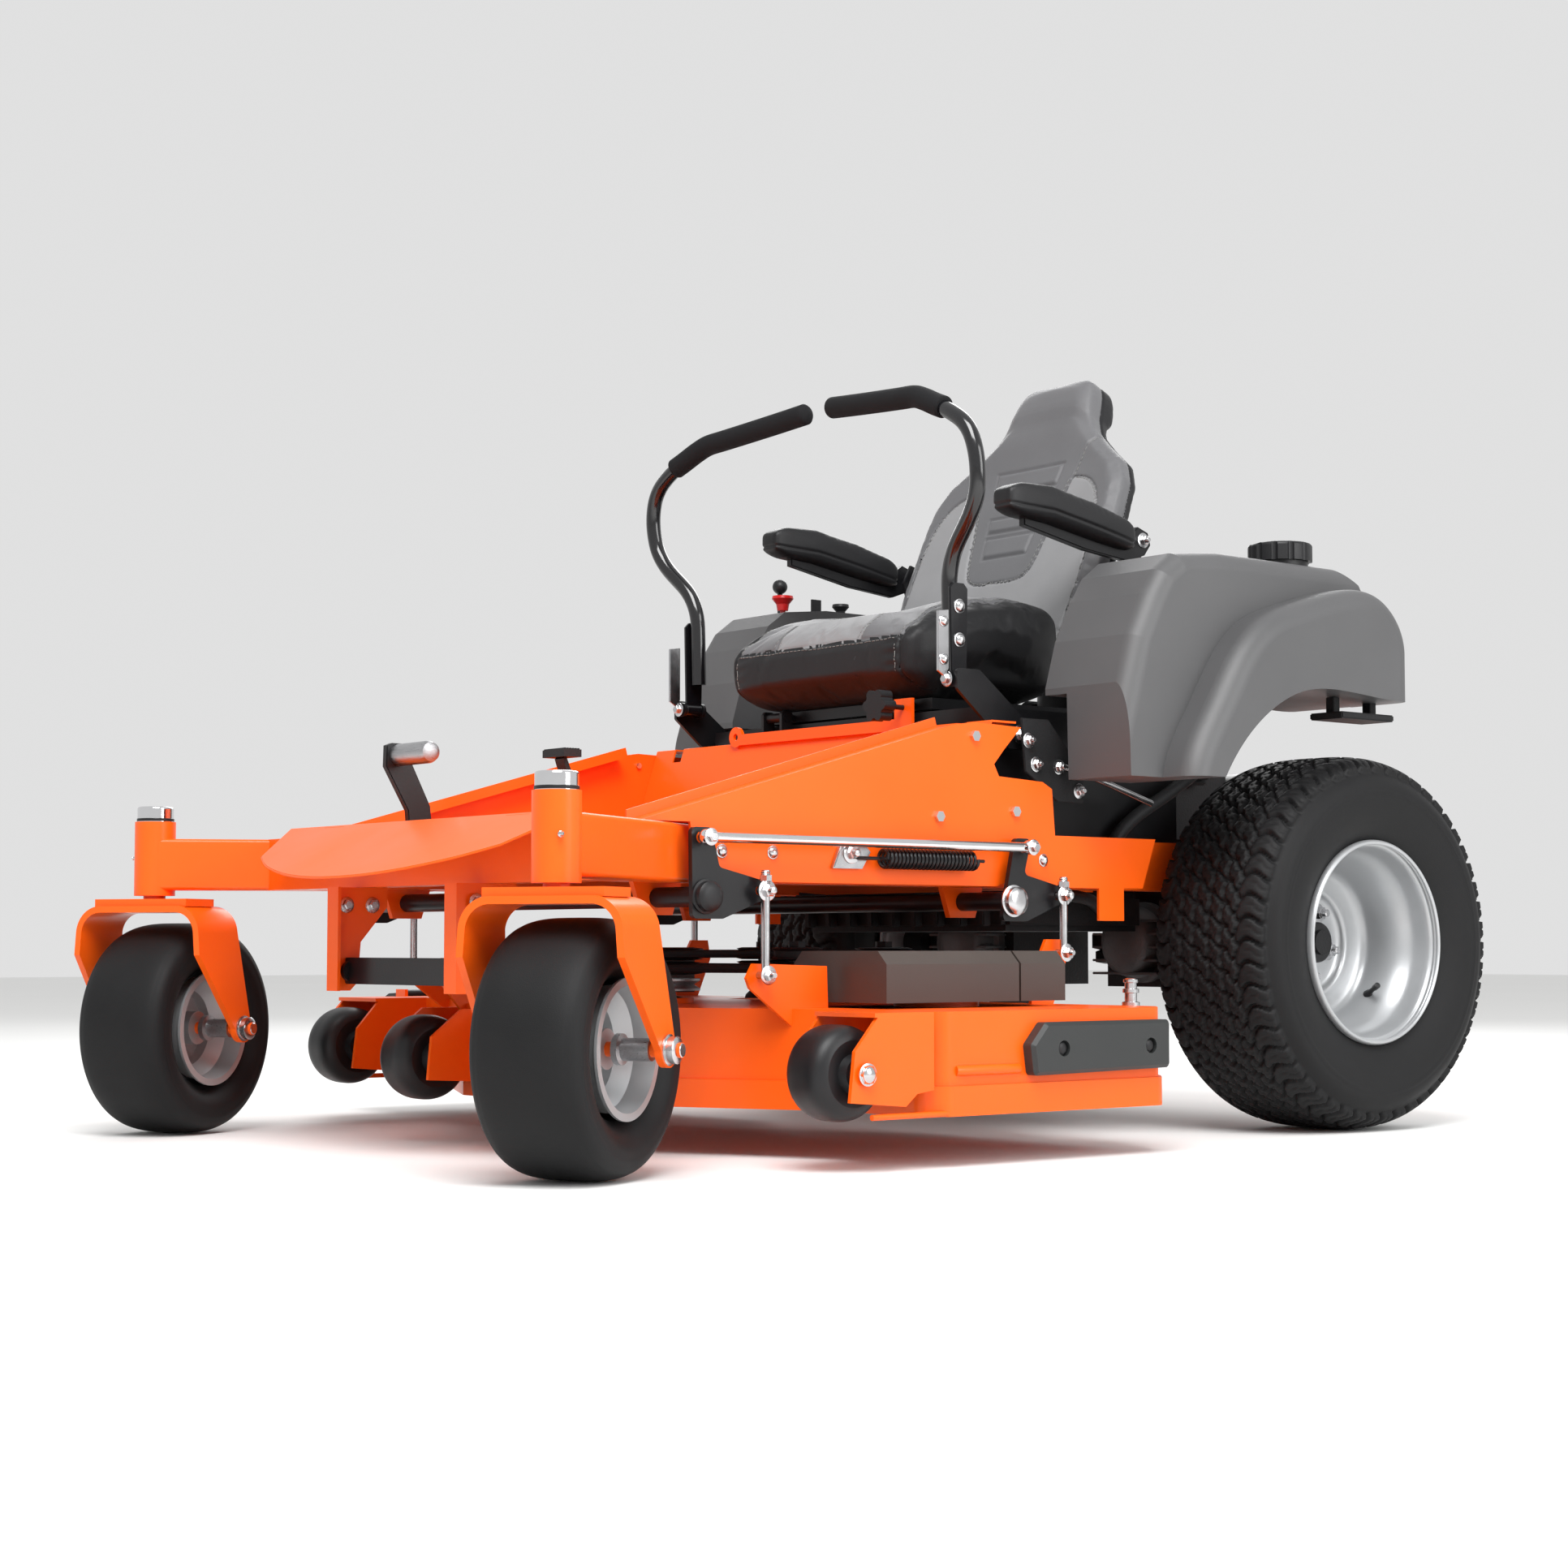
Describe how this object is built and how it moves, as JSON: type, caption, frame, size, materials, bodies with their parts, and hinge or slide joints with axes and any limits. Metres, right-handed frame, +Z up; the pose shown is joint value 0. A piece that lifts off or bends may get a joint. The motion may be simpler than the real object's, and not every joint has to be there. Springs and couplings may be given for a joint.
{
  "type": "zero turn mower",
  "caption": "Ride-on mower with lap-bar steering, caster front wheels, large drive wheels, padded seat and a side-discharge deck under the frame.",
  "frame": {"origin": "on the ground under the middle of the machine's bounding box", "axes": "+X to the operator's left, +Y to the rear, +Z up; the machine drives towards -Y"},
  "size_m": [1.59, 2.0274, 1.3017],
  "materials": {
    "frame_paint": "satin powder coat",
    "black_paint": "satin black",
    "moulding": "fine textured",
    "black_plastic": "matte",
    "red_plastic": "gloss",
    "casting": "as cast",
    "zinc": "bright plated",
    "tyre": "moulded rubber",
    "rim_paint": "silver paint",
    "lever_gloss": "gloss black",
    "foam": "foam",
    "vinyl": "grained vinyl",
    "arm_vinyl": "moulded skin"
  },
  "bodies": {
    "chassis": {"frame_rails": "frame_paint", "front_axle": "frame_paint", "rear_guard": "frame_paint", "nose_plate": "frame_paint", "foot_pan": "frame_paint", "side_panel_left": "frame_paint", "side_panel_right": "frame_paint", "seat_platform": "black_paint", "fuel_tank_left": "moulding", "fuel_tank_right": "moulding", "engine_block": "casting", "engine_shroud": "black_plastic", "muffler": "black_paint", "transaxles": "casting", "bright_hardware": "zinc", "lift_springs": "black_paint"},
    "caster_left": {"caster_fork_left": "frame_paint"},
    "caster_right": {"caster_fork_right": "frame_paint"},
    "front_wheel_left": {"front_tyre_left": "tyre", "front_rim_left": "rim_paint"},
    "front_wheel_right": {"front_tyre_right": "tyre", "front_rim_right": "rim_paint"},
    "rear_wheel_left": {"rear_tyre_left": "tyre", "rear_rim_left": "rim_paint"},
    "rear_wheel_right": {"rear_tyre_right": "tyre", "rear_rim_right": "rim_paint"},
    "lever_base_left": {"lever_pivot_left": "black_paint"},
    "lever_base_right": {"lever_pivot_right": "black_paint"},
    "lever_left": {"control_lever_left": "lever_gloss", "lever_grip_left": "foam"},
    "lever_right": {"control_lever_right": "lever_gloss", "lever_grip_right": "foam"},
    "seat_tray": {"seat_pan": "black_paint"},
    "seat": {"seat_cushion": "vinyl", "seat_back": "vinyl"},
    "armrest_left": {"armrest_left": "arm_vinyl"},
    "armrest_right": {"armrest_right": "arm_vinyl"},
    "deck": {"deck_shell": "frame_paint", "deck_bumper": "black_plastic", "belt_covers": "black_plastic", "deck_hangers": "zinc"},
    "lift_front": {"lift_shaft_front": "black_paint"},
    "lift_rear": {"lift_shaft_rear": "black_paint"},
    "push_rods": {"push_rods": "zinc"},
    "links": {"deck_links": "black_paint"},
    "lift_pedal": {"lift_pedal": "black_paint"},
    "blade_left": {"blade_left": "black_paint"},
    "blade_centre": {"blade_centre": "black_paint"},
    "blade_right": {"blade_right": "black_paint"},
    "roller_left": {"gauge_roller_left": "black_plastic"},
    "roller_right": {"gauge_roller_right": "black_plastic"},
    "rollers_centre": {"centre_rollers": "black_plastic"},
    "chute": {"discharge_chute": "black_plastic"},
    "fuel_cap": {"fuel_cap": "black_plastic"},
    "pto": {"pto_knob": "red_plastic"},
    "choke": {"choke_knob": "black_plastic"},
    "key": {"ignition_key": "black_plastic"},
    "throttle": {"throttle_lever": "black_plastic"},
    "star_knob": {"star_knob": "black_plastic"},
    "brake": {"brake_pedal": "black_plastic"}
  },
  "joints": [
    {"name": "caster_left_swivel", "type": "hinge", "parent": "chassis", "child": "caster_left", "pos_m": [0.6396, -0.90445, 0.42], "axis": [0, 0, 1], "continuous": true},
    {"name": "front_wheel_left_spin", "type": "hinge", "parent": "caster_left", "child": "front_wheel_left", "pos_m": [0.60993, -0.84888, 0.165], "axis": [0.8821, 0.471, 0], "continuous": true},
    {"name": "rear_wheel_left_spin", "type": "hinge", "parent": "chassis", "child": "rear_wheel_left", "pos_m": [0.591, 0.63775, 0.3], "axis": [1, 0, 0], "continuous": true},
    {"name": "lever_left_stroke", "type": "hinge", "parent": "chassis", "child": "lever_base_left", "pos_m": [0.43, 0.09275, 0.62], "axis": [1, 0, 0], "range_deg": [-14, 14]},
    {"name": "lever_left_swing", "type": "hinge", "parent": "lever_base_left", "child": "lever_left", "pos_m": [0.423, -0.01125, 0.7], "axis": [0, 1, 0], "range_deg": [0, 40]},
    {"name": "armrest_left_fold", "type": "hinge", "parent": "seat", "child": "armrest_left", "pos_m": [0.377, 0.44175, 0.964], "axis": [-1, 0, 0], "range_deg": [0, 80]},
    {"name": "caster_right_swivel", "type": "hinge", "parent": "chassis", "child": "caster_right", "pos_m": [-0.4696, -0.90445, 0.42], "axis": [0, 0, 1], "continuous": true},
    {"name": "front_wheel_right_spin", "type": "hinge", "parent": "caster_right", "child": "front_wheel_right", "pos_m": [-0.49927, -0.84888, 0.165], "axis": [0.8821, 0.471, 0], "continuous": true},
    {"name": "rear_wheel_right_spin", "type": "hinge", "parent": "chassis", "child": "rear_wheel_right", "pos_m": [-0.421, 0.63775, 0.3], "axis": [1, 0, 0], "continuous": true},
    {"name": "lever_right_stroke", "type": "hinge", "parent": "chassis", "child": "lever_base_right", "pos_m": [-0.26, 0.09275, 0.62], "axis": [1, 0, 0], "range_deg": [-14, 14]},
    {"name": "lever_right_swing", "type": "hinge", "parent": "lever_base_right", "child": "lever_right", "pos_m": [-0.253, -0.01125, 0.7], "axis": [0, -1, 0], "range_deg": [0, 40]},
    {"name": "armrest_right_fold", "type": "hinge", "parent": "seat", "child": "armrest_right", "pos_m": [-0.207, 0.44175, 0.964], "axis": [-1, 0, 0], "range_deg": [0, 80]},
    {"name": "seat_tilt", "type": "hinge", "parent": "chassis", "child": "seat_tray", "pos_m": [0.085, 0.02575, 0.676], "axis": [1, 0, 0], "range_deg": [0, 30]},
    {"name": "seat_slide", "type": "slide", "parent": "seat_tray", "child": "seat", "axis": [0, 1, 0], "range_m": [-0.04, 0.04]},
    {"name": "deck_lift", "type": "slide", "parent": "chassis", "child": "deck", "axis": [0, 0, 1], "range_m": [-0.02, 0.03]},
    {"name": "lift_front_turn", "type": "hinge", "parent": "chassis", "child": "lift_front", "pos_m": [0.085, -0.58425, 0.361], "axis": [1, 0, 0], "range_deg": [-13, 19]},
    {"name": "lift_rear_turn", "type": "hinge", "parent": "chassis", "child": "lift_rear", "pos_m": [0.085, -0.00525, 0.361], "axis": [1, 0, 0], "range_deg": [-13, 19]},
    {"name": "push_rod_slide", "type": "slide", "parent": "chassis", "child": "push_rods", "axis": [0, 1, 0], "range_m": [-0.027, 0.018]},
    {"name": "link_swing", "type": "hinge", "parent": "chassis", "child": "links", "pos_m": [0.085, -0.77725, 0.257], "axis": [1, 0, 0], "range_deg": [-8, 11]},
    {"name": "lift_pedal_turn", "type": "hinge", "parent": "chassis", "child": "lift_pedal", "pos_m": [-0.115, -0.63425, 0.42], "axis": [1, 0, 0], "range_deg": [-10, 15]},
    {"name": "blade_left_spin", "type": "hinge", "parent": "deck", "child": "blade_left", "pos_m": [0.53, -0.16225, 0.15], "axis": [0, 0, 1], "continuous": true},
    {"name": "blade_centre_spin", "type": "hinge", "parent": "deck", "child": "blade_centre", "pos_m": [0.085, -0.34225, 0.15], "axis": [0, 0, 1], "continuous": true},
    {"name": "blade_right_spin", "type": "hinge", "parent": "deck", "child": "blade_right", "pos_m": [-0.36, -0.16225, 0.15], "axis": [0, 0, 1], "continuous": true},
    {"name": "roller_left_spin", "type": "hinge", "parent": "deck", "child": "roller_left", "pos_m": [0.715, -0.51325, 0.128], "axis": [1, 0, 0], "continuous": true},
    {"name": "roller_right_spin", "type": "hinge", "parent": "deck", "child": "roller_right", "pos_m": [-0.545, -0.51325, 0.128], "axis": [1, 0, 0], "continuous": true},
    {"name": "rollers_centre_spin", "type": "hinge", "parent": "deck", "child": "rollers_centre", "pos_m": [0.085, -0.66225, 0.128], "axis": [1, 0, 0], "continuous": true},
    {"name": "chute_lift", "type": "hinge", "parent": "deck", "child": "chute", "pos_m": [-0.619, -0.20725, 0.209], "axis": [0, 1, 0], "range_deg": [0, 60]},
    {"name": "fuel_cap_turn", "type": "hinge", "parent": "chassis", "child": "fuel_cap", "pos_m": [0.563, 0.57375, 0.93], "axis": [0, 0, 1], "continuous": true},
    {"name": "pto_pull", "type": "slide", "parent": "chassis", "child": "pto", "axis": [0, 0, 1], "range_m": [0, 0.015]},
    {"name": "choke_pull", "type": "slide", "parent": "chassis", "child": "choke", "axis": [0, 0, 1], "range_m": [0, 0.02]},
    {"name": "key_turn", "type": "hinge", "parent": "chassis", "child": "key", "pos_m": [-0.367, 0.36575, 0.92], "axis": [0, 0, 1], "range_deg": [0, 70]},
    {"name": "throttle_swing", "type": "hinge", "parent": "chassis", "child": "throttle", "pos_m": [-0.431, 0.33175, 0.893], "axis": [1, 0, 0], "range_deg": [-20, 20]},
    {"name": "star_knob_turn", "type": "hinge", "parent": "chassis", "child": "star_knob", "pos_m": [0.316, -0.06225, 0.664], "axis": [0, 1, 0], "continuous": true},
    {"name": "brake_press", "type": "hinge", "parent": "chassis", "child": "brake", "pos_m": [-0.113, -0.37025, 0.48], "axis": [1, 0, 0], "range_deg": [0, 20]}
  ],
  "couplings": [
    {"joint": "lift_front_turn", "follows": "deck_lift", "rad_per_m": 10.75},
    {"joint": "lift_rear_turn", "follows": "deck_lift", "rad_per_m": 10.75},
    {"joint": "push_rod_slide", "follows": "deck_lift", "ratio": -0.86},
    {"joint": "link_swing", "follows": "deck_lift", "rad_per_m": 5.9},
    {"joint": "lift_pedal_turn", "follows": "deck_lift", "rad_per_m": 8},
    {"joint": "blade_centre_spin", "follows": "blade_left_spin", "ratio": 1},
    {"joint": "blade_right_spin", "follows": "blade_left_spin", "ratio": 1}
  ]
}
